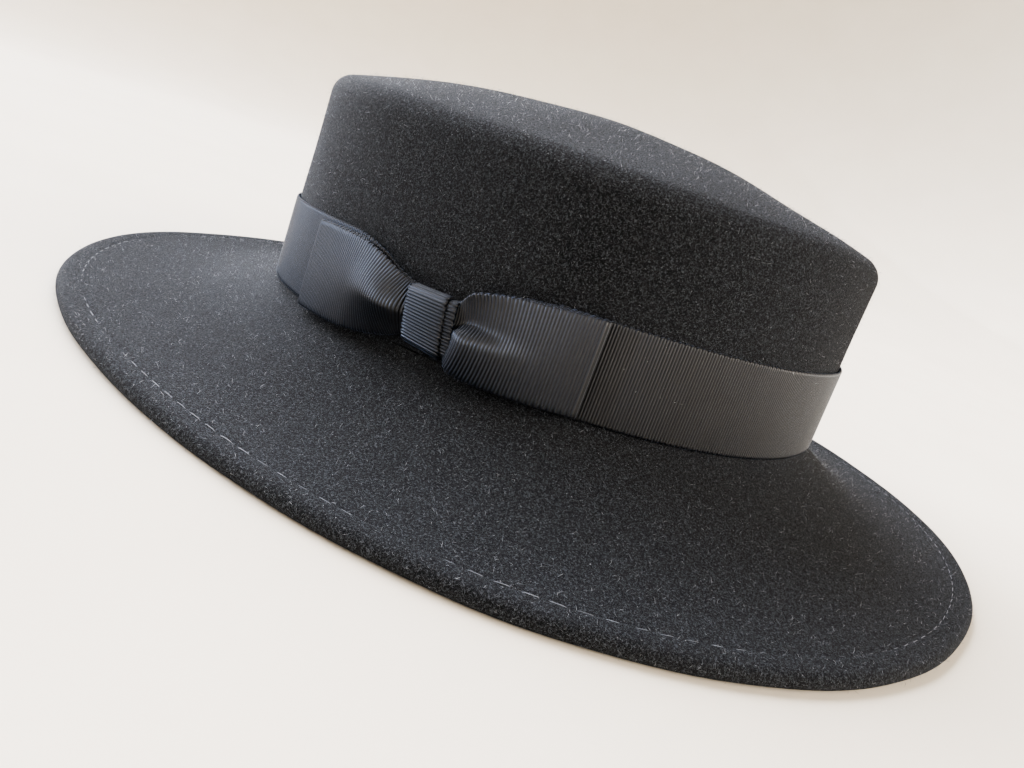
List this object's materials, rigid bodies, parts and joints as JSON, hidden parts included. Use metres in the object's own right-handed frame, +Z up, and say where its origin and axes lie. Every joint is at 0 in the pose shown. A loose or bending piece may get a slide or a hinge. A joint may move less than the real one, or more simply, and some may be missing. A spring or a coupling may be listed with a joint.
{
  "type": "flat-crowned felt hat with ribbon bow",
  "caption": "Black wool felt hat with a flat oval crown, a sloping brim with a folded stitched rim, a grosgrain ribbon band and a flat bow; worn on the head.",
  "frame": {"origin": "middle of the rim, on the surface that the hat rests on", "axes": "+Z up through the crown, front of the hat towards -Y, wearer's left and the bow towards +X"},
  "size_m": [0.29, 0.312, 0.0977],
  "materials": {
    "wool_felt": "matt brushed wool felt, black",
    "grosgrain_ribbon": "ribbed ribbon with a low sheen, black"
  },
  "bodies": {
    "root": {"crown": "wool_felt", "brim": "wool_felt", "ribbon_band": "grosgrain_ribbon", "bow_loop_front": "grosgrain_ribbon", "bow_loop_back": "grosgrain_ribbon", "bow_knot": "grosgrain_ribbon"}
  },
  "joints": []
}
